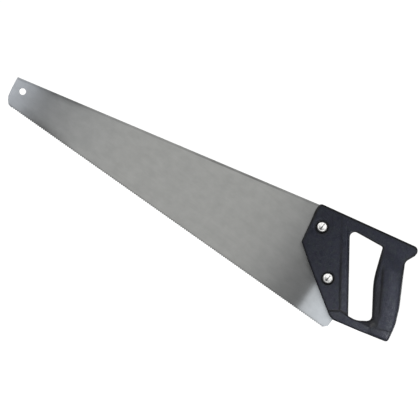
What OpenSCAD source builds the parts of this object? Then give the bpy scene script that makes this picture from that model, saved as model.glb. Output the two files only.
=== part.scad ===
// Hand saw. A tapered steel blade is clamped in the slot of a closed plastic handle by two
// slotted saw screws, each turned into a sleeve nut that comes through from the other side.
// X runs along the toothed edge towards the handle, Y across the blade, and Z up from the teeth.
// The origin lies on the line of the tooth points, under the middle of the saw.

/* [Blade] */
// Length of the toothed edge
toothed_l = 450; // [400:10:500]
// Height of the blade at its toe
toe_h = 33.5; // [32:0.5:38]
// Thickness of the blade
blade_t = 0.9; // [0.7:0.1:1.2]
// Number of teeth
tooth_count = 168; // [100:1:180]
// Height of a tooth, from gullet to point
tooth_h = 1.3; // [1:0.1:2.4]
// Diameter of the hang hole in the toe
hang_hole_d = 8; // [5:0.5:10]

/* [Handle] */
// Thickness of the bars and of the plate behind the cheeks
bar_t = 18; // [16:0.5:19]
// Thickness over the two raised cheeks
cheek_t = 20; // [19.5:0.5:23]
// Greatest thickness of the grip
grip_t = 26; // [24:0.5:30]
// Radius of the crown on each side of the grip
grip_crown_r = 30; // [26:1:40]
// Radius of the bead along the front of the hand opening
bead_r = 4; // [3:0.5:4.5]

/* [Saw screws] */
// Diameter of the domed heads
head_d = 12; // [11:0.5:13]
// Height of the rim of a head
head_rim_h = 2.2; // [1.6:0.1:2.4]
// Height of the dome above the rim
dome_h = 1.8; // [1.2:0.1:2.2]
// Diameter of the screw's shank and of the bore in its nut
shank_d = 4; // [3:0.5:5]
// Outer diameter of the nut's sleeve
sleeve_d = 6.8; // [6.5:0.1:7.5]
// Width of the screwdriver slots
slot_w = 1.4; // [1:0.1:1.8]
// Length of the screwdriver slots
slot_l = 8; // [7:0.5:10]

/* [Hidden] */
$fn = 64;

// Outlines are lists of corners [x, z, radius], counterclockwise, measured from the blade's heel.
// The handle's outer edge, from the foot of its front edge round under the grip
handle_corners = [
    [4.2, 14, 3], [38, 21.2, 150], [72, 29.5, 4], [68.5, 50.5, 60], [60, 71.5, 90],
    [34.6, 119, 8], [40, 131, 2], [40.8, 142, 6], [-86.4, 117.7, 4], [-86.7, 108.5, 8],
    [-83.6, 94, 30], [-78.9, 68.2, 4], [-54, 50.2, 60], [-3, 16.4, 4],
];
// The opening for the hand, from its lower front corner
opening_corners = [
    [16.6, 28.2, 2], [27.5, 29.3, 20], [42.9, 39.4, 6], [16.8, 79.5, 100], [3.4, 118.2, 2.5],
    [-41, 113.4, 6],
];
// The raised cheek round the saw screws, from its lower front corner
cheek_corners = [
    [-5, 20.2, 1], [5.5, 27.6, 1], [-45, 96, 4], [-56, 118, 2], [-85.4, 112.6, 3],
    [-85.7, 108, 8], [-82.6, 94, 30], [-77.8, 68.8, 4], [-53.6, 51.4, 60],
];
// The crowned grip between the two bars, a little inside the handle's outer edge
grip_corners = [
    [43.5, 31, 4], [69, 37, 4], [67.3, 50.5, 60], [59, 71, 90], [33, 119.5, 8],
    [12, 126, 6], [5.5, 116, 4], [18, 80, 100], [43.5, 40.5, 6],
];
// The end of the blade, from the heel up inside the handle to where its back comes out
tang_corners = [[0, 0], [3.8, 5], [4, 11], [4, 30], [-41, 98], [-47, 106.5], [-84, 116.2]];
// The rounded toe below the front corner of the back, measured from the first tooth
toe_corners = [[-12, 20], [-10, 9.5], [-7.5, 5], [-4, 1.2]];
toe_tip_x = -13.5;
hang_hole_at = [1, 23];
screws_at = [[-69, 96], [-28.7, 50.5]];

grip_foot = [57, 40];    // the lower end of the grip's middle line
grip_lean = 26;          // how far that line leans towards the toe, in degrees
bead_foot = [8.5, 32.5];
bead_lean = 34;
bead_l = 84;
ARC_STEPS = 6;           // segments on each rounded corner
SLOT_PLAY = 0.3;         // play between the blade's hidden end and the end of its slot
HOLE_PLAY = 0.1;         // radial play of a sleeve in its holes
RECESS_PLAY = 1.5;       // radial gap round a sunken head
HEAD_SUNK = 2.6;         // depth of a head's recess below the cheek's face
SLOT_DEPTH = 1.3;        // depth of a screwdriver slot below the top of the dome
SLEEVE_REACH = 4;        // how far a sleeve reaches past the blade
NUT_FLOOR = 0.7;         // metal between the bore of a nut and its screwdriver slot
SLOT_TURNS = [95, 100, 60, 160];  // where each slot came to rest when it was tightened

seat_y = cheek_t / 2 - HEAD_SUNK;
sleeve_end_y = blade_t / 2 + SLEEVE_REACH;
bore_end_y = seat_y + head_rim_h + dome_h - SLOT_DEPTH - NUT_FLOOR;

function unit(v) = v / norm(v);
function at(corner) = [corner[0], corner[1]];
function turn(a, p, b) = sign(cross(p - a, b - p));

// The points of one rounded corner p of radius r, between its neighbours a and b
function corner_points(a, p, b, r) =
    let (to_a = unit(a - p), to_b = unit(b - p))
    let (half = acos(to_a * to_b) / 2)
    let (centre = p + unit(to_a + to_b) * r / sin(half))
    let (start = p + to_a * r / tan(half) - centre)
    let (start_angle = atan2(start[1], start[0]))
    let (sweep = turn(a, p, b) * (180 - 2 * half))
    [for (k = [0:ARC_STEPS])
        let (angle = start_angle + sweep * k / ARC_STEPS)
        centre + r * [cos(angle), sin(angle)]];

// A list of corners turned into the points of its rounded outline
function outline(corners) =
    let (count = len(corners))
    [for (i = [0:count - 1])
        each corner_points(at(corners[(i + count - 1) % count]), at(corners[i]),
                           at(corners[(i + 1) % count]), corners[i][2])];

// Puts the origin under the middle of the saw
handle_back_x = max([for (p = outline(handle_corners)) p[0]]);
frame_x = (toothed_l - toe_tip_x - handle_back_x) / 2;

// The points of the toothed edge: each tooth is steep towards the toe and long behind its point
function teeth() =
    let (pitch = toothed_l / tooth_count)
    [for (i = [0:tooth_count - 1]) for (p = [[0.3, 0], [1, tooth_h]])
        [-toothed_l + (i + p[0]) * pitch, p[1]]];

// The points of the toe, from the front corner of the back down to the first tooth
function toe() =
    concat([[toe_tip_x - toothed_l, toe_h]], [for (p = toe_corners) p - [toothed_l, 0]]);

// An upright sheet of thickness t through the points [x, z]
module sheet(points, t) {
    rotate([90, 0, 0]) linear_extrude(t, center = true) polygon(points);
}

// A round bar along Y between y1 and y2
module bar(d, y1, y2) {
    translate([0, y2, 0]) rotate([90, 0, 0]) cylinder(d = d, h = y2 - y1);
}

// Puts what follows at a point [x, z] measured from the heel
module from_heel(place) {
    translate([frame_x + place[0], 0, place[1]]) children();
}

// A domed head of which the rim starts at y = 0 and the dome points along -Y
module domed_head(slot_turn) {
    dome_r = (pow(head_d / 2, 2) + pow(dome_h, 2)) / (2 * dome_h);
    top = head_rim_h + dome_h;
    difference() {
        union() {
            bar(head_d, -head_rim_h, 0);
            intersection() {
                translate([0, dome_r - top, 0]) sphere(dome_r, $fn = 128);
                bar(head_d, -top, -head_rim_h);
            }
        }
        rotate([0, slot_turn, 0])
            translate([-slot_l / 2, -top - 1, -slot_w / 2])
                cube([slot_l, SLOT_DEPTH + 1, slot_w]);
    }
}

// The screw: its head on the near cheek, its shank running into the sleeve
module saw_screw(slot_turn) {
    translate([0, -seat_y, 0]) domed_head(slot_turn);
    bar(shank_d, -seat_y, bore_end_y - 1);
}

// The nut: its head on the far cheek, its sleeve through the handle and the blade
module saw_nut(slot_turn) {
    difference() {
        union() {
            translate([0, seat_y, 0]) mirror([0, 1, 0]) domed_head(slot_turn);
            bar(sleeve_d, -sleeve_end_y, seat_y);
        }
        bar(shank_d, -sleeve_end_y - 1, bore_end_y);
    }
}

// One crowned side of the grip: a wide cylinder along the grip, side = -1 near or 1 far
module crown(side) {
    translate([grip_foot[0], side * (grip_t / 2 - grip_crown_r), grip_foot[1]])
        rotate([0, -grip_lean, 0])
            translate([0, 0, -40]) cylinder(r = grip_crown_r, h = 160, $fn = 128);
}

module grip() {
    intersection() {
        sheet(outline(grip_corners), grip_t);
        crown(-1);
        crown(1);
    }
}

// The beads that soften the front of the hand opening, one on each side
module beads() {
    for (side = [-1, 1])
        translate([bead_foot[0], side * (cheek_t / 2 + 0.5 - bead_r), bead_foot[1]])
            rotate([0, -bead_lean, 0]) cylinder(r = bead_r, h = bead_l);
}

// The room for the hidden part of the blade
module blade_slot() {
    hidden_end = [for (p = tang_corners) p + [SLOT_PLAY, 0]];
    sheet(concat([[-110, 0]], hidden_end, [[-110, 110]]), blade_t);
}

// What a screw and its nut need: a through hole and a recess for each head
module screw_hole() {
    recess_d = head_d + 2 * RECESS_PLAY;
    bar(sleeve_d + 2 * HOLE_PLAY, -cheek_t, cheek_t);
    bar(recess_d, -cheek_t, -seat_y);
    bar(recess_d, seat_y, cheek_t);
}

module blade() {
    color([0.66, 0.67, 0.67])
    difference() {
        from_heel([0, 0]) sheet(concat(teeth(), tang_corners, toe()), blade_t);
        from_heel(hang_hole_at - [toothed_l, 0]) bar(hang_hole_d, -blade_t, blade_t);
        for (place = screws_at)
            from_heel(place) bar(sleeve_d + 2 * HOLE_PLAY, -blade_t, blade_t);
    }
}

module handle() {
    color([0.19, 0.20, 0.24])
    difference() {
        from_heel([0, 0]) {
            difference() {
                sheet(outline(handle_corners), bar_t);
                sheet(outline(opening_corners), bar_t + 2);
            }
            sheet(outline(cheek_corners), cheek_t);
            grip();
            beads();
        }
        from_heel([0, 0]) blade_slot();
        for (place = screws_at)
            from_heel(place) screw_hole();
    }
}

module upper_saw_screw() {
    color([0.86, 0.86, 0.84])
    from_heel(screws_at[0]) saw_screw(SLOT_TURNS[0]);
}

module lower_saw_screw() {
    color([0.86, 0.86, 0.84])
    from_heel(screws_at[1]) saw_screw(SLOT_TURNS[1]);
}

module upper_saw_nut() {
    color([0.86, 0.86, 0.84])
    from_heel(screws_at[0]) saw_nut(SLOT_TURNS[2]);
}

module lower_saw_nut() {
    color([0.86, 0.86, 0.84])
    from_heel(screws_at[1]) saw_nut(SLOT_TURNS[3]);
}

blade();
handle();
upper_saw_screw();
lower_saw_screw();
upper_saw_nut();
lower_saw_nut();
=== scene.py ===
"""The looks of the hand saw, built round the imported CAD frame.

Outlines are measured in millimetres as (x, z) from the blade's heel, like those of the CAD part.
Each main piece is a relief: a flat outline whose two sides stand at a height given by a formula.
"""

import math

import bpy
import numpy as np
from mathutils import Matrix, Vector
from mathutils.geometry import delaunay_2d_cdt


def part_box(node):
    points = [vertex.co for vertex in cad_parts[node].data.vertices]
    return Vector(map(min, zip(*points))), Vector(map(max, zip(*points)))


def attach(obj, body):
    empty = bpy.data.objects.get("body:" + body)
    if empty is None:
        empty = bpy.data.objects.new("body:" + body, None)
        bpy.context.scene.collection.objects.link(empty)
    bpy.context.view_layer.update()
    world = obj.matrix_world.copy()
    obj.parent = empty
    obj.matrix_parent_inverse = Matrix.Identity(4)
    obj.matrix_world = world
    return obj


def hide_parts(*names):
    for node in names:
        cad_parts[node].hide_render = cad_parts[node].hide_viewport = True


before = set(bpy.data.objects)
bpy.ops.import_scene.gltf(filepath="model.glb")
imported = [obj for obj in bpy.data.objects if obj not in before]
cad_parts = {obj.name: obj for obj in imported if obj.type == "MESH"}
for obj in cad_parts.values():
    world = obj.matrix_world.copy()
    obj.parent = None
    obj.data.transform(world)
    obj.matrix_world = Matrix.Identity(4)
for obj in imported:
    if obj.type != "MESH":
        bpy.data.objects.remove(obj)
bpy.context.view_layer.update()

MM = 0.001

# ---------------------------------------------------------------- sizes, as in the CAD part
TOOTHED_L = 450.0
TOE_TIP_X = -13.5
TOE_H = 33.5
BLADE_T = 0.9
TOOTH_COUNT = 168
TOOTH_H = 1.3
TOOTH_TIP_SHARE = 0.3       # where along its pitch each tooth's point lies
HANG_HOLE = (-449.0, 23.0)
HANG_HOLE_R = 4.0
SCREWS = {"upper": (-69.0, 96.0), "lower": (-28.7, 50.5)}
HEAD_R = 6.0
HEAD_RIM_H = 2.2
DOME_H = 1.8
SEAT_Y = 7.4
SHANK_R = 2.0
SHANK_END_Y = 8.4
SLEEVE_R = 3.4
SLEEVE_HOLE_R = 3.5
SLEEVE_END_Y = 4.45
RECESS_R = 7.5
SLOT_W = 1.4
SLOT_DEPTH = 1.3
SLOT_L = 8.0

# Corners (x, z, radius) of the handle's outline, its opening and its thicker cheek
HANDLE_CORNERS = [
    (4.2, 14, 3), (38, 21.2, 150), (72, 29.5, 4), (68.5, 50.5, 60), (60, 71.5, 90),
    (34.6, 119, 8), (40, 131, 2), (40.8, 142, 6), (-86.4, 117.7, 4), (-86.7, 108.5, 8),
    (-83.6, 94, 30), (-78.9, 68.2, 4), (-54, 50.2, 60), (-3, 16.4, 4),
]
OPENING_CORNERS = [
    (16.6, 28.2, 2), (27.5, 29.3, 20), (42.9, 39.4, 6), (16.8, 79.5, 100), (3.4, 118.2, 2.5),
    (-41, 113.4, 6),
]
CHEEK_CORNERS = [
    (-9, 17.4, 1), (5.5, 27.6, 1), (-45, 96, 4), (-56, 118, 2), (-92, 113, 3), (-92, 80, 8),
    (-84, 66, 4), (-58, 46, 60),
]
# Corners (x, z) of the blade from the heel through the handle to the back, and, measured from
# the last tooth, down the rounded corner of the toe
TANG = [(0, 0), (3.8, 5), (4, 11), (4, 30), (-41, 98), (-47, 106.5), (-84, 116.2)]
TOE = [(-12, 20), (-10, 9.5), (-7.5, 5), (-4, 1.2)]

# The heel's place in the row frame, from the CAD: the screws' centres are known from the heel
screw_low, screw_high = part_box("upper_saw_screw")
HEEL_X = (screw_low.x + screw_high.x) / 2 - SCREWS["upper"][0] * MM


# ---------------------------------------------------------------- flat geometry, in millimetres
def rounded(corners, steps=8):
    """The points of an outline whose corners (x, z, radius) are rounded."""
    points = []
    count = len(corners)
    for i, (x, z, radius) in enumerate(corners):
        p = np.array((x, z), float)
        to_a = np.array(corners[i - 1][:2], float) - p
        to_b = np.array(corners[(i + 1) % count][:2], float) - p
        to_a /= np.linalg.norm(to_a)
        to_b /= np.linalg.norm(to_b)
        half = math.acos(float(to_a @ to_b)) / 2
        middle = (to_a + to_b) / np.linalg.norm(to_a + to_b)
        centre = p + middle * radius / math.sin(half)
        start = p + to_a * radius / math.tan(half) - centre
        angle = math.atan2(start[1], start[0])
        side = np.sign(to_a[1] * to_b[0] - to_a[0] * to_b[1])
        sweep = side * (math.pi - 2 * half)
        for k in range(steps + 1):
            a = angle + sweep * k / steps
            points.append(centre + radius * np.array((math.cos(a), math.sin(a))))
    return np.array(points)


def circle(centre, radius, count=48):
    """The points of a circle, counterclockwise."""
    angles = np.arange(count) * 2 * math.pi / count
    return np.array(centre) + radius * np.column_stack((np.cos(angles), np.sin(angles)))


def resampled(points, spacing, closed=True):
    """The same line with extra points, so that none of its segments is longer than spacing."""
    ends = np.roll(points, -1, axis=0) if closed else points[1:]
    out = []
    for a, b in zip(points, ends):
        parts = max(1, math.ceil(np.linalg.norm(b - a) / spacing))
        out.extend(a + (b - a) * k / parts for k in range(parts))
    if not closed:
        out.append(points[-1])
    return np.array(out)


def depth(points, outline):
    """How far each point lies inside a closed outline; outside it the depth is negative."""
    a = outline
    b = np.roll(outline, -1, axis=0)
    best = np.full(len(points), np.inf)
    inside = np.zeros(len(points), bool)
    for p0, p1 in zip(a, b):
        edge = p1 - p0
        share = np.clip(((points - p0) @ edge) / (edge @ edge), 0, 1)
        gap = points - p0 - share[:, None] * edge
        best = np.minimum(best, (gap * gap).sum(axis=1))
        if p0[1] != p1[1]:
            crosses = (p0[1] > points[:, 1]) != (p1[1] > points[:, 1])
            at = p0[0] + (points[:, 1] - p0[1]) * edge[0] / edge[1]
            inside ^= crosses & (points[:, 0] < at)
    return np.where(inside, 1, -1) * np.sqrt(best)


def inset(outline, distance):
    """The outline moved inwards by a distance, without the points that this would fold over."""
    before = outline - np.roll(outline, 1, axis=0)
    after = np.roll(outline, -1, axis=0) - outline
    before /= np.linalg.norm(before, axis=1)[:, None]
    after /= np.linalg.norm(after, axis=1)[:, None]
    tangent = before + after
    tangent /= np.linalg.norm(tangent, axis=1)[:, None]
    normal = np.column_stack((-tangent[:, 1], tangent[:, 0]))
    stretch = np.clip((before * tangent).sum(axis=1), 0.5, 1)
    moved = outline + normal * (distance / stretch)[:, None]
    kept = np.abs(depth(moved, outline) - distance) < 0.05 + 0.02 * abs(distance)
    return moved[kept]


def ramp(value, start, width):
    """0 before start and 1 after start + width, with a smooth rise between them."""
    t = np.clip((value - start) / width, 0, 1)
    return t * t * (3 - 2 * t)


class Line:
    """A straight feature line: how far points lie to its right, and how far along it they are."""

    def __init__(self, start, end):
        self.start = np.array(start, float)
        self.end = np.array(end, float)
        self.length = float(np.linalg.norm(self.end - self.start))
        self.direction = (self.end - self.start) / self.length
        self.right = np.array((self.direction[1], -self.direction[0]))

    def beside(self, points):
        return (points - self.start) @ self.right

    def along(self, points):
        return (points - self.start) @ self.direction

    def groove(self, points, width, sink, offset=0.0, fade=3.0):
        """The depth of a round-bottomed groove along the line, fading out at both ends."""
        across = np.clip(np.abs(self.beside(points) - offset) / (width / 2), 0, 1)
        along = self.along(points)
        ends = ramp(along, 0, fade) * (1 - ramp(along, self.length - fade, fade))
        return sink * (1 - across**2) ** 2 * ends

    def rows(self, offsets, spacing=1.0):
        """Lines of points beside the line, which the mesh follows."""
        made = []
        for offset in offsets:
            ends = np.array((self.start, self.end)) + offset * self.right
            made.append(resampled(ends, spacing, closed=False))
        return made


# ---------------------------------------------------------------- relief meshes
def clear_of(points, loops, clearance):
    """Which points lie inside the first loop and outside the others, clear of all of them."""
    clear = depth(points, loops[0]) > clearance
    for hole in loops[1:]:
        clear &= depth(points, hole) < -clearance
    return clear


def filling(points, loops, spacing):
    """Points of a triangular grid between the loops, where none of the given points is near."""
    low, high = loops[0].min(axis=0), loops[0].max(axis=0)
    grid = []
    for k, z in enumerate(np.arange(low[1], high[1], spacing * math.sqrt(0.75))):
        start = low[0] + (k % 2) * spacing / 2
        grid.extend((x, z) for x in np.arange(start, high[0], spacing))
    grid = np.array(grid)
    cell = spacing * 0.45
    taken = {tuple(c) for c in np.floor(np.array(points) / cell).astype(int)}
    fill = []
    for p in grid[clear_of(grid, loops, spacing / 2)]:
        i, j = (int(c) for c in np.floor(p / cell))
        if not any((i + u, j + v) in taken for u in (-1, 0, 1) for v in (-1, 0, 1)):
            fill.append(p)
    return fill


def flat_mesh(loops, rows, spacing, clearance):
    """Points and triangles inside the first loop and outside the others, following the rows.

    Rows stay a clearance away from the loops, and the rest is filled with points at the spacing,
    or with none where the spacing is 0.
    """
    points, edges = [], []

    def add(line, closed):
        first = len(points)
        points.extend(line)
        count = len(line)
        edges.extend((first + k, first + k + 1) for k in range(count - 1))
        if closed:
            edges.append((first + count - 1, first))

    for loop in loops:
        add(loop, True)
    for row in rows:
        inside = clear_of(row, loops, clearance)
        # a row that leaves the outline and comes back is followed in separate runs
        breaks = np.flatnonzero(np.diff(inside.astype(int))) + 1
        for run, keep in zip(np.split(row, breaks), np.split(inside, breaks)):
            if keep[0] and len(run) > 1:
                add(run, False)
    if spacing:
        points.extend(filling(points, loops, spacing))
    made = delaunay_2d_cdt([Vector(p) for p in points], edges, [], 0, 1e-5)
    flat = np.array([tuple(v) for v in made[0]])
    faces = np.array(made[2])
    faces = faces[clear_of(flat[faces].mean(axis=1), loops, 0)]
    a, b, c = (flat[faces[:, k]] for k in range(3))
    turn = (b - a)[:, 0] * (c - a)[:, 1] - (b - a)[:, 1] * (c - a)[:, 0]
    faces[turn < 0] = faces[turn < 0][:, ::-1]
    used = np.unique(faces)
    renumber = np.full(len(flat), -1)
    renumber[used] = np.arange(len(used))
    return flat[used], renumber[faces]


def boundary(faces):
    """The edges (a, b) that only one triangle has, in that triangle's direction."""
    edges = np.concatenate([faces[:, (0, 1)], faces[:, (1, 2)], faces[:, (2, 0)]])
    there = {tuple(e) for e in edges.tolist()}
    return [e for e in there if (e[1], e[0]) not in there]


def to_row(points, y):
    """Points (x, z) from the heel and their y, all in millimetres, in the row frame."""
    return np.column_stack((points[:, 0] * MM + HEEL_X, y * MM, points[:, 1] * MM))


def relief(flat, faces, near, far, wall_rows=()):
    """A closed mesh between the near side at y = near and the far side at y = far.

    wall_rows are (y, inset) pairs, from near to far, that shape the wall along the outline.
    """
    count = len(flat)
    rim = boundary(faces)
    after = dict(rim)
    before = {b: a for a, b in rim}
    names = sorted(after)
    tangents = np.array([flat[after[n]] - flat[before[n]] for n in names])
    tangents /= np.linalg.norm(tangents, axis=1)[:, None]
    inward = np.column_stack((-tangents[:, 1], tangents[:, 0]))
    verts = [to_row(flat, near), to_row(flat, far)]
    place = {n: k for k, n in enumerate(names)}
    starts = []
    for row_y, row_inset in wall_rows:
        starts.append(sum(len(v) for v in verts))
        shift = np.asarray(row_inset)[:, None] if np.ndim(row_inset) else row_inset
        ys = np.full(len(names), row_y)
        verts.append(to_row(flat[names] + inward * shift, ys))
    polygons = [tuple(f) for f in faces.tolist()]
    polygons += [tuple(count + i for i in reversed(f)) for f in faces.tolist()]
    for a, b in rim:
        rows = [(a, b)]
        rows += [(s + place[a], s + place[b]) for s in starts]
        rows.append((count + a, count + b))
        for (p, q), (r, s) in zip(rows, rows[1:]):
            polygons.append((q, p, r, s))
    return np.concatenate(verts), polygons


def new_piece(name, verts, polygons, material, nodes, smooth=True):
    """A mesh object that rides on the saw's body in place of its CAD nodes."""
    mesh = bpy.data.meshes.new(name)
    mesh.from_pydata([tuple(v) for v in verts], [], polygons)
    mesh.validate()
    mesh.polygons.foreach_set("use_smooth", [smooth] * len(mesh.polygons))
    mesh.materials.append(material)
    piece = bpy.data.objects.new(name, mesh)
    bpy.context.scene.collection.objects.link(piece)
    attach(piece, "root")
    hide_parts(*nodes)
    return piece


def add_painted_shade(piece, share):
    """Keeps a share of painted shade, 0 to 1, at each of the piece's points for its material to
    read.
    """
    attribute = piece.data.attributes.new("painted_shade", "FLOAT", "POINT")
    attribute.data.foreach_set("value", share)


# ---------------------------------------------------------------- materials
class Shader:
    """Short names for the few nodes that the materials are made of."""

    def __init__(self, name):
        self.material = bpy.data.materials.new(name)
        self.material.use_nodes = True
        self.tree = self.material.node_tree
        self.surface = self.tree.nodes["Principled BSDF"]
        self.place = self.tree.nodes.new("ShaderNodeTexCoord").outputs["Object"]

    def set(self, **values):
        for key, value in values.items():
            self.surface.inputs[key.replace("_", " ")].default_value = value

    def link(self, output, name):
        self.tree.links.new(output, self.surface.inputs[name])

    def noise(self, scale, stretch=(1, 1, 1), detail=4.0, roughness=0.55):
        """Noise over the object, finer along an axis where its stretch is above 1."""
        mapping = self.tree.nodes.new("ShaderNodeMapping")
        mapping.inputs["Scale"].default_value = stretch
        self.tree.links.new(self.place, mapping.inputs["Vector"])
        node = self.tree.nodes.new("ShaderNodeTexNoise")
        node.inputs["Scale"].default_value = scale
        node.inputs["Detail"].default_value = detail
        node.inputs["Roughness"].default_value = roughness
        self.tree.links.new(mapping.outputs["Vector"], node.inputs["Vector"])
        return node.outputs["Fac"]

    def ramp(self, value, stops):
        """Colours or greys (position, value) along an input."""
        node = self.tree.nodes.new("ShaderNodeValToRGB")
        elements = node.color_ramp.elements
        while len(elements) < len(stops):
            elements.new(0.5)
        for element, (position, colour) in zip(elements, stops):
            element.position = position
            grey = isinstance(colour, (int, float))
            element.color = (colour, colour, colour, 1) if grey else (*colour, 1)
        self.tree.links.new(value, node.inputs["Fac"])
        return node.outputs["Color"]

    def mix(self, a, b, factor, blend="MIX"):
        """a with a share of b, where the share is a number or an output."""
        node = self.tree.nodes.new("ShaderNodeMix")
        node.data_type = "RGBA"
        node.blend_type = blend
        node.clamp_factor = True
        if isinstance(factor, (int, float)):
            node.inputs["Factor"].default_value = factor
        else:
            self.tree.links.new(factor, node.inputs["Factor"])
        self.tree.links.new(a, node.inputs["A"])
        self.tree.links.new(b, node.inputs["B"])
        return node.outputs["Result"]

    def span(self, value, low, high):
        """0 to 1 while a value rises from low to high."""
        node = self.tree.nodes.new("ShaderNodeMapRange")
        node.inputs["From Min"].default_value = low
        node.inputs["From Max"].default_value = high
        self.tree.links.new(value, node.inputs["Value"])
        return node.outputs["Result"]

    def axis(self, name, low, high):
        """0 to 1 between two places along an axis, in metres."""
        split = self.tree.nodes.new("ShaderNodeSeparateXYZ")
        self.tree.links.new(self.place, split.inputs["Vector"])
        return self.span(split.outputs[name], low, high)

    def along(self, direction, low, high):
        """0 to 1 between two distances along any direction, in metres."""
        dot = self.tree.nodes.new("ShaderNodeVectorMath")
        dot.operation = "DOT_PRODUCT"
        dot.inputs[1].default_value = direction
        self.tree.links.new(self.place, dot.inputs[0])
        return self.span(dot.outputs["Value"], low, high)

    def painted_shade(self):
        """The share of painted shade kept at the mesh's points."""
        node = self.tree.nodes.new("ShaderNodeAttribute")
        node.attribute_name = "painted_shade"
        return node.outputs["Fac"]

    def bump(self, heights):
        """Stacked bumps: (height output, height in metres, strength)."""
        normal = None
        for height, distance, strength in heights:
            node = self.tree.nodes.new("ShaderNodeBump")
            node.inputs["Distance"].default_value = distance
            node.inputs["Strength"].default_value = strength
            self.tree.links.new(height, node.inputs["Height"])
            if normal is not None:
                self.tree.links.new(normal, node.inputs["Normal"])
            normal = node.outputs["Normal"]
        self.link(normal, "Normal")


def plastic():
    """Satin moulded plastic, blue-black, with a fine spark-eroded grain and rubbed patches."""
    s = Shader("moulded_plastic")
    s.set(Specular_IOR_Level=0.5, IOR=1.5)
    patches = s.noise(38, detail=3)
    fine = s.noise(900, detail=5)
    tone = s.ramp(patches, [(0.3, (0.0105, 0.0125, 0.022)), (0.7, (0.0175, 0.0200, 0.035))])
    flecks = s.ramp(fine, [(0.35, (0.008, 0.0095, 0.017)), (0.7, (0.023, 0.026, 0.042))])
    # worn and dusty places are greyer, and others have a violet cast
    worn = s.ramp(s.noise(190, detail=5, roughness=0.7), [(0.48, 0.0), (0.62, 0.8)])
    violet = s.ramp(s.noise(240, detail=4, roughness=0.7), [(0.50, 0.0), (0.64, 0.7)])
    dust = s.ramp(fine, [(0.3, (0.018, 0.023, 0.026)), (0.7, (0.030, 0.036, 0.041))])
    cast = s.ramp(fine, [(0.3, (0.010, 0.008, 0.018)), (0.7, (0.020, 0.016, 0.036))])
    tone = s.mix(s.mix(s.mix(tone, flecks, 0.45), dust, worn), cast, violet)
    # painted shade: the colour goes near black where the painted_shade share is high, in grooves,
    # recesses and along edges
    shading = s.ramp(fine, [(0.3, (0.0015, 0.0018, 0.003)), (0.7, (0.004, 0.0045, 0.007))])
    s.link(s.mix(tone, shading, s.painted_shade()), "Base Color")
    rub = s.noise(130, detail=6, roughness=0.7)
    s.link(s.ramp(rub, [(0.37, 0.72), (0.63, 0.36)]), "Roughness")
    grain = s.noise(1500, detail=2)
    waves = s.noise(130, detail=4)
    s.bump([(grain, 0.00004, 0.5), (waves, 0.0006, 0.6)])
    return s.material


# Marks on the blade, in metres
TEETH_DARK_H = 0.004        # how high the darker tooth points reach
DARK_BACK_LINE_W = 0.0032         # the painted dark reflection along the back
DARK_TOE_TEETH_H = 0.012           # the painted dark reflection at the teeth near the toe
DARK_TOE_BACK_W = 0.008           # and the one at the back
BLADE_SPAN = 0.27           # half of the length over which tones change along the blade


def steel():
    """Blade steel, brushed lengthwise: reflections spread across the brushing, not along it."""
    s = Shader("brushed_steel")
    s.set(Metallic=1.0, Anisotropic=0.95, Anisotropic_Rotation=0.25)
    tangent = s.tree.nodes.new("ShaderNodeTangent")
    tangent.direction_type = "UV_MAP"
    tangent.uv_map = "along_blade"
    s.link(tangent.outputs["Tangent"], "Tangent")
    lines = s.noise(1, stretch=(25, 400, 2600), detail=4, roughness=0.6)
    long_lines = s.noise(1, stretch=(6, 100, 900), detail=3, roughness=0.6)
    cloud = s.noise(60, stretch=(1, 1, 1.6), detail=6, roughness=0.62)
    tone = s.ramp(cloud, [(0.33, (0.397, 0.401, 0.393)), (0.67, (0.466, 0.469, 0.460))])
    streak = s.ramp(lines, [(0.3, 0.38), (0.7, 0.48)])
    # painted bluish reflection, mixed in towards both ends of the blade
    blue_reflection = s.ramp(cloud, [(0.33, (0.382, 0.394, 0.405)), (0.67, (0.455, 0.467, 0.480))])
    length = s.axis("X", -BLADE_SPAN, BLADE_SPAN)
    ends = s.ramp(length, [(0.05, 0.9), (0.30, 0.0), (0.62, 0.0), (0.85, 0.9)])
    colour = s.mix(s.mix(tone, blue_reflection, ends), streak, 0.2)
    # the hardened tooth points are darker, and a thin painted dark reflection runs along the back
    dark = s.ramp(cloud, [(0.3, 0.10), (0.7, 0.20)])
    teeth = s.ramp(s.axis("Z", 0.0, TEETH_DARK_H), [(0.3, 0.55), (0.7, 0.0)])
    back_end = (TANG[-1][0] * MM + HEEL_X, TANG[-1][1] * MM)
    toe_end = ((TOE_TIP_X - TOOTHED_L) * MM + HEEL_X, TOE_H * MM)
    run = Vector(back_end) - Vector(toe_end)
    normal = Vector((-run.y, 0, run.x)).normalized()
    level = normal.dot(Vector((back_end[0], 0, back_end[1])))
    back_line = s.along(normal, level - DARK_BACK_LINE_W, level)
    back = s.ramp(back_line, [(0.1, 0.0), (0.35, 1.0), (0.8, 0.7)])
    worst = s.ramp(length, [(0.38, 0.3), (0.46, 0.65), (0.56, 0.75), (0.64, 0.3)])
    colour = s.mix(s.mix(colour, dark, teeth), dark, s.mix(back, worst, 1.0, "MULTIPLY"))
    # and two painted dark reflections near the toe, at the teeth and at the back
    near_toe = s.ramp(length, [(0.04, 0.0), (0.09, 1.0), (0.14, 1.0), (0.20, 0.0)])
    at_teeth = s.ramp(s.axis("Z", 0.0, DARK_TOE_TEETH_H), [(0.0, 0.60), (1.0, 0.0)])
    at_back = s.ramp(s.along(normal, level - DARK_TOE_BACK_W, level), [(0.0, 0.0), (1.0, 0.55)])
    for place in (at_teeth, at_back):
        colour = s.mix(colour, dark, s.mix(place, near_toe, 1.0, "MULTIPLY"))
    s.link(colour, "Base Color")
    s.link(s.ramp(long_lines, [(0.3, 0.275), (0.7, 0.315)]), "Roughness")
    s.bump([(lines, 0.00002, 0.15)])
    return s.material


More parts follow.
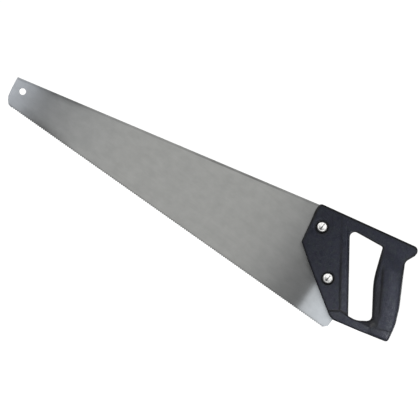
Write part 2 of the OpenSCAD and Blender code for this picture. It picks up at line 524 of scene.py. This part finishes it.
def screw_metal():
    """Satin nickel plate with small scuffs, with shade painted dark into its slot."""
    s = Shader("satin_nickel")
    s.set(Metallic=1.0)
    scuffs = s.noise(700, detail=6, roughness=0.7)
    plate = s.ramp(scuffs, [(0.3, (0.80, 0.80, 0.78)), (0.6, (0.92, 0.92, 0.90))])
    shading = s.ramp(scuffs, [(0.3, 0.02), (0.7, 0.06)])
    # painted shade: the plate goes dark where the painted_shade share is high, in the slot
    s.link(s.mix(plate, shading, s.painted_shade()), "Base Color")
    s.link(s.ramp(scuffs, [(0.3, 0.52), (0.7, 0.36)]), "Roughness")
    s.bump([(scuffs, 0.00003, 0.4)])
    return s.material


# ---------------------------------------------------------------- handle
HANDLE = resampled(rounded(HANDLE_CORNERS), 1.2)
OPENING = resampled(rounded(OPENING_CORNERS), 1.2)
CHEEK = resampled(rounded(CHEEK_CORNERS), 1.0)

BAR_HALF_T = 9.0
CHEEK_HALF_T = 10.0

# The straight front side of the opening, with a fine groove beside it and a bead before that
OPENING_FRONT = Line((16.6, 28.2), (-41.0, 113.4))
BEAD_HALF_T = 10.4
BEAD_EDGE = 11.0            # how far the bead's front edge lies from the opening
BEAD_STEP_W = 0.8
BEAD_SLOPE = 0.12
BEAD_STRIP = 2.5            # how far the fine groove lies from the opening
FINE_GROOVE_W = 0.9
FINE_GROOVE_SINK = 0.35

# The step beside the pad of the upper screw
PAD_STEP = Line((-70.5, 119.5), (-53.4, 95.5))
PAD_SINK = 0.3
SCREW_DISH_R = 9.4          # a shallow dish round the upper screw
SCREW_DISH_SINK = 0.35

# The crease between the grip's finger side and its crowned main face
GRIP_CREASE = Line((52.0, 41.0), (5.0, 120.0))
CREASE_W = 1.8
CREASE_STEP = 1.1
GRIP_HALF_T = 13.0
GRIP_CROWN_R = 40.0
GRIP_CROWN_AT = 8.0         # how far the grip's highest line lies from the crease
FINGER_FALL = 0.12          # how steeply the finger side falls towards the opening
FINGER_BEND_AT = 4.0        # how far from the crease it starts to bend down
FINGER_R = 14.0
SCOOP = (40.0, 36.0)        # where the finger side sinks in, at the lower back of the opening
SCOOP_FALL = 0.30

# The top of the band that runs along the handle's foot, from the front to the back
BAND_TOP = [(-9, 17.4), (5.5, 27.6), (16.6, 28.2), (43, 31.4), (60.2, 38.3), (73, 43.5)]
BAND_RISE = 0.4
BAND_SLOPE = 0.16
FOOT_GROOVE_RISE = 0.3      # a groove runs just above the band, up to the opening
FOOT_GROOVE_HALF_W = 1.2
FOOT_GROOVE_SINK = 0.9

# Where shapes fade in or out, as (start, length) of heights above the tooth points
BEAD_TOP = (64, 12)
CREASE_FOOT = (43, 9)
CREASE_TOP = (92, 12)
FINGER_TOP = (62, 20)
GRIP_TOP = (100, 22)
# and of distances beside the grip's crease
PLATE_TO_GRIP = (-24, 6)
GRIP_SWELL = (-17, 6)
GRIP_EDGE = (-16, 8)

# Radii of the rounded edges, and what they gain on the grip
OUTER_EDGE_R = 2.2
OUTER_GRIP_GAIN = 2.3
INNER_EDGE_R = 2.4
INNER_GRIP_GAIN = 1.4

# The mould's parting line runs round the handle's wall; at the front it is the blade's slot
PARTING_HALF_W = 0.8
PARTING_FLOOR_HALF_W = 0.5
PARTING_SINK = 0.15
BLADE_SLOT_SINK = 0.7
SLEEVE_SIDES = 36           # points round each hole of a sleeve, in the handle and in the blade

# How much painted shade, 0 to 1, darkens each place
BEAD_SHADE = 1.0
CREASE_SHADE = 0.8
FOOT_SHADE = 1.0
OPENING_EDGE_SHADE = 0.95
GRIP_EDGE_SHADE = 0.9
FINGER_SHADE = 0.68
SCOOP_SHADE = 0.9
SCREW_SHADE = 0.95
WALL_SHADE = 0.4


def below_band_top(points):
    """How far points lie below the top of the band that runs along the handle's foot."""
    corners = np.array(BAND_TOP)
    return np.interp(points[:, 0], corners[:, 0], corners[:, 1]) - points[:, 1]


def front_height(points):
    """The front of the handle: its plate, the cheek's pad and the bead beside the opening."""
    front = -OPENING_FRONT.beside(points)
    height = BAR_HALF_T + (CHEEK_HALF_T - BAR_HALF_T) * ramp(front, BEAD_STRIP, 0.6)
    pad = ramp(PAD_STEP.beside(points), -0.2, 0.7) * (1 - ramp(PAD_STEP.along(points), 20, 9))
    height -= PAD_SINK * pad * ramp(depth(points, CHEEK), 0, 0.6)
    # the bead stands proud of the plate in its lower part and falls towards the opening
    low = 1 - ramp(points[:, 1], *BEAD_TOP)
    crest = BEAD_EDGE - BEAD_STEP_W
    bead = BEAD_HALF_T - BEAD_SLOPE * (crest - front) - height
    height += bead * low * (1 - ramp(front, crest, BEAD_STEP_W)) * ramp(front, 0, 0.5)
    height -= OPENING_FRONT.groove(points, FINE_GROOVE_W, FINE_GROOVE_SINK, offset=-BEAD_STRIP)
    return height


def crease_share(points):
    """1 along the middle of the grip, where its crease is deep, and 0 near its ends."""
    return ramp(points[:, 1], *CREASE_FOOT) * (1 - ramp(points[:, 1], *CREASE_TOP))


def grip_height(points):
    """The crowned main face of the grip, and a finger side that falls away from a crease."""
    across = GRIP_CREASE.beside(points)
    main = GRIP_HALF_T - (np.clip(across, 0, None) - GRIP_CROWN_AT) ** 2 / (2 * GRIP_CROWN_R)
    fingers = GRIP_HALF_T - GRIP_CROWN_AT**2 / (2 * GRIP_CROWN_R)
    fingers = fingers - CREASE_STEP * crease_share(points)
    fall = FINGER_FALL * (1 - ramp(points[:, 1], *FINGER_TOP))
    fingers = fingers - fall * np.clip(-across, 0, 10)
    fingers = fingers - np.clip(-FINGER_BEND_AT - across, 0, 10) ** 2 / (2 * FINGER_R)
    return fingers + (main - fingers) * ramp(across, -CREASE_W, CREASE_W)


def scoop_share(points):
    """1 in the hollow at the grip's foot, and 0 away from it."""
    return 1 - ramp(np.linalg.norm(points - np.array(SCOOP), axis=1), 6, 6)


def handle_height(points):
    """Half of the handle's thickness, before its edges are rounded."""
    across = GRIP_CREASE.beside(points)
    below = below_band_top(points)
    before_grip = 1 - ramp(across, *PLATE_TO_GRIP)
    height = BAR_HALF_T + (front_height(points) - BAR_HALF_T) * before_grip
    share = (1 - ramp(points[:, 1], *GRIP_TOP)) * ramp(across, *GRIP_SWELL)
    grip = np.clip(grip_height(points) - BAR_HALF_T, 0, None) * share
    # the finger side falls towards the opening's lower back corner
    height += grip - SCOOP_FALL * np.clip(-below, 0, 7) * scoop_share(points)
    # the bottom bar: a band that falls towards the lower edge and runs on under the grip
    band = BAR_HALF_T + grip + BAND_RISE - BAND_SLOPE * np.clip(below, 0, None)
    height += (band - height) * ramp(below, -0.4, 0.8)
    across_groove = np.clip(np.abs(below + FOOT_GROOVE_RISE) / FOOT_GROOVE_HALF_W, 0, 1)
    height -= FOOT_GROOVE_SINK * (1 - across_groove**2) ** 2 * (1 - ramp(points[:, 0], 15, 4))
    for name, centre in SCREWS.items():
        away = np.linalg.norm(points - np.array(centre), axis=1)
        if name == "upper":
            height -= SCREW_DISH_SINK * (1 - ramp(away, SCREW_DISH_R, 1.4))
        in_recess = 1 - ramp(away, RECESS_R - 0.15, 0.3)
        height += (SEAT_Y - height) * in_recess
    return height


def edge_drop(distance, radius):
    """How much a rounded edge of that radius takes off at a distance from the outline."""
    left = radius - np.clip(distance, 0, radius)
    return radius - np.sqrt(np.maximum(radius**2 - left**2, 0))


def handle_surface(points):
    """Half of the handle's thickness, with its edges rounded."""
    on_grip = ramp(GRIP_CREASE.beside(points), *GRIP_EDGE) * (1 - ramp(points[:, 1], *GRIP_TOP))
    outer = np.maximum(depth(points, HANDLE), 0)
    inner = np.maximum(-depth(points, OPENING), 0)
    outer_r = OUTER_EDGE_R + OUTER_GRIP_GAIN * on_grip
    inner_r = INNER_EDGE_R + INNER_GRIP_GAIN * on_grip
    return handle_height(points) - edge_drop(outer, outer_r) - edge_drop(inner, inner_r)


def close_to(distance, width, fade):
    """1 where a distance is within a width of 0, falling to 0 over the fade."""
    return 1 - ramp(np.abs(distance), width, fade)


def painted_shade(points):
    """How much shade is painted: in the grooves, round the screws and along the edges, and on the
    finger side and in the hollow at the grip's foot.
    """
    x, z = points.T
    across = GRIP_CREASE.beside(points)
    front = -OPENING_FRONT.beside(points)
    below = below_band_top(points)
    outer = depth(points, HANDLE)
    inner = -depth(points, OPENING)
    high = ramp(z, 70, 40)      # towards the top of the handle
    on_grip = ramp(across, -16, 4) * (1 - ramp(z, 108, 10))
    bead_line = close_to(front - BEAD_EDGE + 1.2, 0.6, 1.5) * (1 - 0.6 * high) * (below < 0)
    crease = close_to(across + 0.4, 0.6, 2.4) * crease_share(points)
    foot_line = close_to(below + 0.5, 0.9, 1.3)
    finger_side = on_grip * (1 - ramp(across, -2, 2)) * (1 - ramp(below, -3, 3))
    layers = [
        BEAD_SHADE * bead_line,
        CREASE_SHADE * crease,
        (FOOT_SHADE - 0.6 * ramp(x, 17, 3)) * foot_line,
        # painted shade along the outer edge, darker towards the top
        (1 - ramp(outer, 1.0 + 0.5 * high, 2.0)) * (0.5 + 0.5 * high),
        OPENING_EDGE_SHADE * (1 - ramp(inner, 0.9, 1.5)) * (1 - on_grip),
        GRIP_EDGE_SHADE * (1 - ramp(inner, 1.4, 2.8)) * on_grip,
        (FINGER_SHADE - 0.5 * ramp(z, *FINGER_TOP)) * finger_side,
        SCOOP_SHADE * scoop_share(points) * (1 - ramp(below, -1, 1)),
    ]
    for centre in SCREWS.values():
        away = np.linalg.norm(points - np.array(centre), axis=1)
        layers.append(SCREW_SHADE * (1 - ramp(away, RECESS_R + 0.2, 2.0)))
    return np.clip(np.max(layers, axis=0), 0, 1)


def handle_rows():
    """The lines that the handle's mesh follows: edges, steps and grooves."""
    rows = []
    for gap in (0.06, 0.2, 0.45, 0.8, 1.3, 2.0, 3.0, 4.5):
        rows.append(inset(HANDLE, gap))
        rows.append(inset(OPENING, -gap))
    rows += OPENING_FRONT.rows([-BEAD_EDGE + k for k in (-0.1, 0.2, 0.5, 0.8)])
    rows += OPENING_FRONT.rows([-BEAD_STRIP + k for k in (-0.45, -0.2, 0, 0.2, 0.45)])
    rows += PAD_STEP.rows((-0.2, 0.15, 0.5))
    rows += GRIP_CREASE.rows((-1.8, -1.2, -0.6, 0))
    for rise in (-0.9, -0.4, 0.0, 0.4, 1.2):
        rows.append(resampled(np.array(BAND_TOP) + np.array((0, rise)), 1.0, closed=False))
    for centre in SCREWS.values():
        for gap in (-0.15, -0.05, 0.05, 0.15, 0.5, 1.9, 2.6, 3.3):
            rows.append(circle(centre, RECESS_R + gap, 72))
    return rows


def moulded_handle(material):
    """The whole handle: a relief of its surface with a parting line round its wall."""
    holes = [circle(c, SLEEVE_HOLE_R, SLEEVE_SIDES) for c in SCREWS.values()]
    flat, faces = flat_mesh([HANDLE, OPENING, *holes], handle_rows(), spacing=1.3, clearance=0.04)
    height = handle_surface(flat)
    rim = flat[sorted({i for edge in boundary(faces) for i in edge})]
    at_front = (depth(rim, CHEEK) > -1.5) & (depth(rim, HANDLE) < 0.01)
    to_screws = [np.linalg.norm(rim - np.array(c), axis=1) for c in SCREWS.values()]
    at_hole = np.min(to_screws, axis=0) < SLEEVE_HOLE_R + 0.1
    sink = np.where(at_front, BLADE_SLOT_SINK, PARTING_SINK) * ~at_hole
    wall = [
        (-PARTING_HALF_W, 0.0), (-PARTING_FLOOR_HALF_W, sink),
        (PARTING_FLOOR_HALF_W, sink), (PARTING_HALF_W, 0.0),
    ]
    verts, polygons = relief(flat, faces, -height, height, wall)
    piece = new_piece("moulded_handle", verts, polygons, material, ["handle"])
    # painted shade over both sides of the handle, and an even share of it on its wall
    shading = painted_shade(flat)
    wall_shading = np.full(len(verts) - 2 * len(flat), WALL_SHADE)
    add_painted_shade(piece, np.concatenate((shading, shading, wall_shading)))
    return piece


# ---------------------------------------------------------------- blade
CHAMFER = 0.12              # both the chamfer's width and how far the edge's middle stands out


def blade_outline():
    """Along the teeth to the heel, round the tang, and along the back to the toe."""
    pitch = TOOTHED_L / TOOTH_COUNT
    points = []
    for i in range(TOOTH_COUNT):
        x = -TOOTHED_L + i * pitch
        points.append((x + TOOTH_TIP_SHARE * pitch, 0.0))
        points.append((x + pitch, TOOTH_H))
    points += TANG[1:]
    points.append((TOE_TIP_X - TOOTHED_L, TOE_H))
    points += [(x - TOOTHED_L, z) for x, z in TOE]
    return np.array(points, float)


def brushed_blade(material):
    """The flat blade with chamfered edges, and UVs along it for the direction of its brushing."""
    loops = [blade_outline(), circle(HANG_HOLE, HANG_HOLE_R)]
    loops += [circle(c, SLEEVE_HOLE_R, SLEEVE_SIDES) for c in SCREWS.values()]
    flat, faces = flat_mesh(loops, [], spacing=0, clearance=0)
    side = np.full(len(flat), BLADE_T / 2)
    edge_y = BLADE_T / 2 - CHAMFER
    wall = [(-edge_y, -CHAMFER), (edge_y, -CHAMFER)]
    verts, polygons = relief(flat, faces, -side, side, wall)
    piece = new_piece(
        "brushed_blade", verts, polygons, material, ["blade"], smooth=False
    )
    layer = piece.data.uv_layers.new(name="along_blade")
    for loop in piece.data.loops:
        place = piece.data.vertices[loop.vertex_index].co
        layer.data[loop.index].uv = (place.x, place.z)
    return piece


# ---------------------------------------------------------------- saw screws and nuts
HEAD_EDGE_R = 0.5           # how round the head's outer edge is
SLOT_SOFTNESS = 0.25        # how wide the slot's sides are in the mesh
DOME_SINK = 0.3             # the dome's middle, as wide as the slot is long, is sunk by this
HEAD_SIDES = 72
SHAFT_SIDES = 32


def slot_share(points, slot_angle):
    """1 in the screwdriver slot and 0 beside it; points are measured from the head's middle."""
    across = np.abs(points @ np.array((-math.sin(slot_angle), math.cos(slot_angle))))
    along = np.abs(points @ np.array((math.cos(slot_angle), math.sin(slot_angle))))
    inside = 1 - ramp(across, SLOT_W / 2 - 0.05, SLOT_SOFTNESS)
    return inside * (1 - ramp(along, SLOT_L / 2 - 0.1, 0.3))


def head_height(points, slot_angle):
    """Height of a domed, slotted head above its seat."""
    away = np.linalg.norm(points, axis=1)
    dome_r = (HEAD_R**2 + DOME_H**2) / (2 * DOME_H)
    dome = np.sqrt(dome_r**2 - away**2) - (dome_r - DOME_H)
    height = HEAD_RIM_H + dome - edge_drop(HEAD_R - away, HEAD_EDGE_R)
    height -= DOME_SINK * (1 - ramp(away, SLOT_L / 2, 0.4))
    slot_floor = HEAD_RIM_H + DOME_H - SLOT_DEPTH
    return height + (np.minimum(slot_floor, height) - height) * slot_share(points, slot_angle)


def head(name, centre, slot_degrees, side, material, node, shaft):
    """A saw screw or nut: its head on one side of the handle, and its shaft through it."""
    angle = math.radians(slot_degrees)
    centre = np.array(centre)
    along = np.array((math.cos(angle), math.sin(angle)))
    right = np.array((-along[1], along[0]))
    rows = []
    for offset in (-0.9, -0.78, -0.65, 0.65, 0.78, 0.9):
        ends = np.array((-along, along)) * SLOT_L / 2 + right * offset
        rows.append(resampled(ends, 0.4, closed=False))
    for radius in (HEAD_R - 0.05, HEAD_R - 0.15, HEAD_R - 0.3, HEAD_R - 0.5, 4.4, 4.2, 4.0, 3.9):
        rows.append(circle((0, 0), radius, HEAD_SIDES))
    rim = circle((0, 0), HEAD_R, HEAD_SIDES)
    flat, faces = flat_mesh([rim], rows, spacing=0.6, clearance=0.02)
    top = SEAT_Y + head_height(flat, angle)
    seat = np.full(len(flat), SEAT_Y)
    near, far = (-top, -seat) if side < 0 else (seat, top)
    verts, polygons = relief(flat + centre, faces, near, far)
    shaft_r, shaft_from, shaft_to = shaft
    shaft_rim = circle((0, 0), shaft_r, SHAFT_SIDES)
    shaft_flat, shaft_faces = flat_mesh([shaft_rim], [], spacing=0, clearance=0)
    ones = np.ones(len(shaft_flat))
    shaft_verts, shaft_polygons = relief(
        shaft_flat + centre, shaft_faces, ones * shaft_from, ones * shaft_to
    )
    polygons += [tuple(i + len(verts) for i in p) for p in shaft_polygons]
    verts = np.concatenate((verts, shaft_verts))
    piece = new_piece(name, verts, polygons, material, [node])
    piece.data.set_sharp_from_angle(angle=math.radians(50))
    # shade is painted dark in the slot, most of it towards one end
    shading = np.zeros(len(verts))
    end = ramp(-(flat @ along), -2.5, 4.0)
    top_side = slice(0, len(flat)) if side < 0 else slice(len(flat), 2 * len(flat))
    shading[top_side] = slot_share(flat, angle) * (0.45 + 0.5 * end)
    add_painted_shade(piece, shading)
    return piece


# ---------------------------------------------------------------- build
plastic_material = plastic()
steel_material = steel()
metal_material = screw_metal()
handle = moulded_handle(plastic_material)
blade = brushed_blade(steel_material)
# the shafts' radii and ends; the screw's shaft ends inside the nut's head
screw_shaft = (SHANK_R, -SEAT_Y, SHANK_END_Y - 0.2)
nut_shaft = (SLEEVE_R, -SLEEVE_END_Y, SEAT_Y)
screws = []
for where, screw_slot, nut_slot in (("upper", 85, 120), ("lower", 80, 20)):
    for kind, slot_degrees, side, shaft in (
        ("screw", screw_slot, -1, screw_shaft),
        ("nut", nut_slot, 1, nut_shaft),
    ):
        name, node = f"{where}_{kind}", f"{where}_saw_{kind}"
        screws.append(
            head(name, SCREWS[where], slot_degrees, side, metal_material, node, shaft)
        )


# ---------------------------------------------------------------- camera
CAMERA_ROLL = math.radians(35.23)
CAMERA_LENS = 400.0
SENSOR = 36.0
VIEW_WIDTH = 0.4948     # what the frame shows at the blade
VIEW_CENTRE = (0.0078, 0.0363)

camera = bpy.data.objects.new("camera", bpy.data.cameras.new("camera"))
camera.data.lens = CAMERA_LENS
camera.data.sensor_width = SENSOR
camera.data.clip_start = 0.05
camera.data.clip_end = 50
camera_distance = VIEW_WIDTH * CAMERA_LENS / SENSOR
right = Vector((math.cos(CAMERA_ROLL), 0, math.sin(CAMERA_ROLL)))
up = Vector((-math.sin(CAMERA_ROLL), 0, math.cos(CAMERA_ROLL)))
back = Vector((0, -1, 0))
pose = Matrix((right, up, back)).transposed().to_4x4()
pose.translation = Vector((VIEW_CENTRE[0], -camera_distance, VIEW_CENTRE[1]))
camera.matrix_world = pose
bpy.context.scene.collection.objects.link(camera)
bpy.context.scene.camera = camera


# ---------------------------------------------------------------- floor, world and lights
WHITE = (1.05, 1.05, 1.05, 1)
BEHIND = (0.28, 0.28, 0.28, 1)
FLOOR_HALF_W = 12.0
SAW_MIDDLE_Z = 0.05         # the height at which the blade's cards stand

# Colours of the lights
BLUISH = (0.88, 0.95, 1.18)
WARM_WHITE = (1.0, 1.0, 0.98)
COOL_WHITE = (0.96, 1.0, 1.04)
SKY_WHITE = (0.94, 0.98, 1.05)


def studio_world():
    """A plain surround: in front it is darker level with the saw and at steep angles.

    Behind the saw it is one plain grey. What the camera sees directly is white, so that every
    view has the same plain background.
    """
    world = bpy.data.worlds.new("studio")
    bpy.context.scene.world = world
    world.use_nodes = True
    tree = world.node_tree
    coordinates = tree.nodes.new("ShaderNodeTexCoord")
    split = tree.nodes.new("ShaderNodeSeparateXYZ")
    tree.links.new(coordinates.outputs["Generated"], split.inputs["Vector"])

    def shade(axis, stops):
        """Greys (place, grey) along an axis of the direction, from -1 to 1."""
        turned = tree.nodes.new("ShaderNodeMapRange")
        turned.inputs["From Min"].default_value = -1.0
        turned.inputs["From Max"].default_value = 1.0
        tree.links.new(split.outputs[axis], turned.inputs["Value"])
        node = tree.nodes.new("ShaderNodeValToRGB")
        elements = node.color_ramp.elements
        while len(elements) < len(stops):
            elements.new(0.5)
        for element, (at, grey) in zip(elements, stops):
            element.position = (at + 1) / 2
            element.color = (grey, grey, grey, 1)
        tree.links.new(turned.outputs["Result"], node.inputs["Fac"])
        return node.outputs["Color"]

    def mixed(a, colour, factor):
        node = tree.nodes.new("ShaderNodeMix")
        node.data_type = "RGBA"
        tree.links.new(factor, node.inputs["Factor"])
        tree.links.new(a, node.inputs["A"])
        node.inputs["B"].default_value = colour
        return node.outputs["Result"]

    front = shade("Z", [
        (-0.75, 0.05), (-0.5, 0.18), (-0.35, 0.38), (-0.15, 0.085),
        (0.15, 0.085), (0.3, 0.28), (0.5, 0.33), (0.65, 0.48), (0.85, 0.15),
    ])
    behind = shade("Y", [(0.15, 0.0), (0.45, 1.0)])
    light = mixed(front, BEHIND, behind)
    path = tree.nodes.new("ShaderNodeLightPath")
    seen = mixed(light, WHITE, path.outputs["Is Camera Ray"])
    tree.links.new(seen, tree.nodes["Background"].inputs["Color"])


def floor():
    """A plain pale floor under the teeth; it glows a little, so that it stays white."""
    w = FLOOR_HALF_W
    mesh = bpy.data.meshes.new("floor")
    corners = [(-w, -w, 0), (w, -w, 0), (w, w, 0), (-w, w, 0)]
    mesh.from_pydata(corners, [], [(0, 1, 2, 3)])
    s = Shader("pale_floor")
    s.set(Base_Color=(0.8, 0.8, 0.8, 1), Roughness=0.9, Specular_IOR_Level=0.0)
    s.set(Emission_Color=(1, 1, 1, 1), Emission_Strength=0.95)
    mesh.materials.append(s.material)
    piece = bpy.data.objects.new("floor", mesh)
    piece.visible_glossy = False
    piece.visible_diffuse = False
    bpy.context.scene.collection.objects.link(piece)


def area_light(name, place, target, size, radiance, colour=(1, 1, 1), *, only):
    """A rectangular softbox, unseen by the camera, that lights only the given pieces."""
    light = bpy.data.lights.new(name, "AREA")
    light.shape = "RECTANGLE"
    light.size, light.size_y = size
    light.energy = radiance * math.pi * size[0] * size[1]
    light.color = colour
    lamp = bpy.data.objects.new(name, light)
    lamp.location = place
    direction = Vector(target) - Vector(place)
    lamp.rotation_euler = direction.to_track_quat("-Z", "Y").to_euler()
    lamp.visible_camera = False
    bpy.context.scene.collection.objects.link(lamp)
    lit = bpy.data.collections.new(name + "_lights")
    for piece in only:
        lit.objects.link(piece)
    lamp.light_linking.receiver_collection = lit


def blade_card(name, near_x, far_x, distance, height, radiance, colour):
    """A card facing the blade, which the camera sees mirrored between two places along it."""
    spread = 1 + distance / camera_distance
    left = VIEW_CENTRE[0] + (near_x - VIEW_CENTRE[0]) * spread
    right = VIEW_CENTRE[0] + (far_x - VIEW_CENTRE[0]) * spread
    place = ((left + right) / 2, -distance, SAW_MIDDLE_Z)
    target = (place[0], 0, SAW_MIDDLE_Z)
    area_light(name, place, target, (right - left, height), radiance, colour, only=[blade])


studio_world()
floor()
handle_set = [handle, *screws]
handle_middle = (0.15, 0, 0.07)
area_light("left_softbox", (-1.3, -1.1, 0.4), handle_middle, (0.8, 0.8), 3.6, only=handle_set)
area_light(
    "right_softbox", (0.45, -0.45, 0.10), (0.22, 0, 0.07), (0.30, 0.18), 3.1, BLUISH, only=[handle]
)
area_light(
    "low_softbox", (0.36, -0.16, 0.02), (0.27, 0, 0.03), (0.16, 0.035), 12.0, only=[handle]
)
area_light(
    "floor_bounce", (0.32, -0.10, 0.002), (0.32, -0.10, 1.0), (0.3, 0.16), 0.75, only=[handle]
)
area_light("screw_card", (0.25, -0.8, 0.35), (0.14, 0, 0.07), (0.9, 0.9), 1.75, only=screws)
# the same kind of light for the far side of the saw
area_light("far_softbox", (1.2, 1.1, 0.4), handle_middle, (0.8, 0.8), 3.6, only=handle_set)
area_light(
    "far_side_softbox", (-0.3, 0.9, 0.7), (0.20, 0, 0.07), (0.5, 0.3), 3.6, only=handle_set
)
area_light("far_card", (0.9, 1.1, 0.45), (0, 0, 0.05), (0.9, 0.9), 2.2, only=[blade])
# what the blade mirrors: an even middle, a dark gap before the light heel, and a light toe
blade_card("middle_card", -0.210, 0.1185, 0.8, 2.4, 0.66, WARM_WHITE)
blade_card("heel_card", 0.1593, 0.30, 0.06, 0.4, 0.83, COOL_WHITE)
blade_card("heel_glow", 0.171, 0.40, 0.20, 0.7, 0.40, COOL_WHITE)
blade_card("toe_card", -0.40, -0.244, 0.40, 1.4, 0.98, SKY_WHITE)
bpy.context.scene.view_settings.view_transform = "Standard"
bpy.context.scene.view_settings.look = "None"
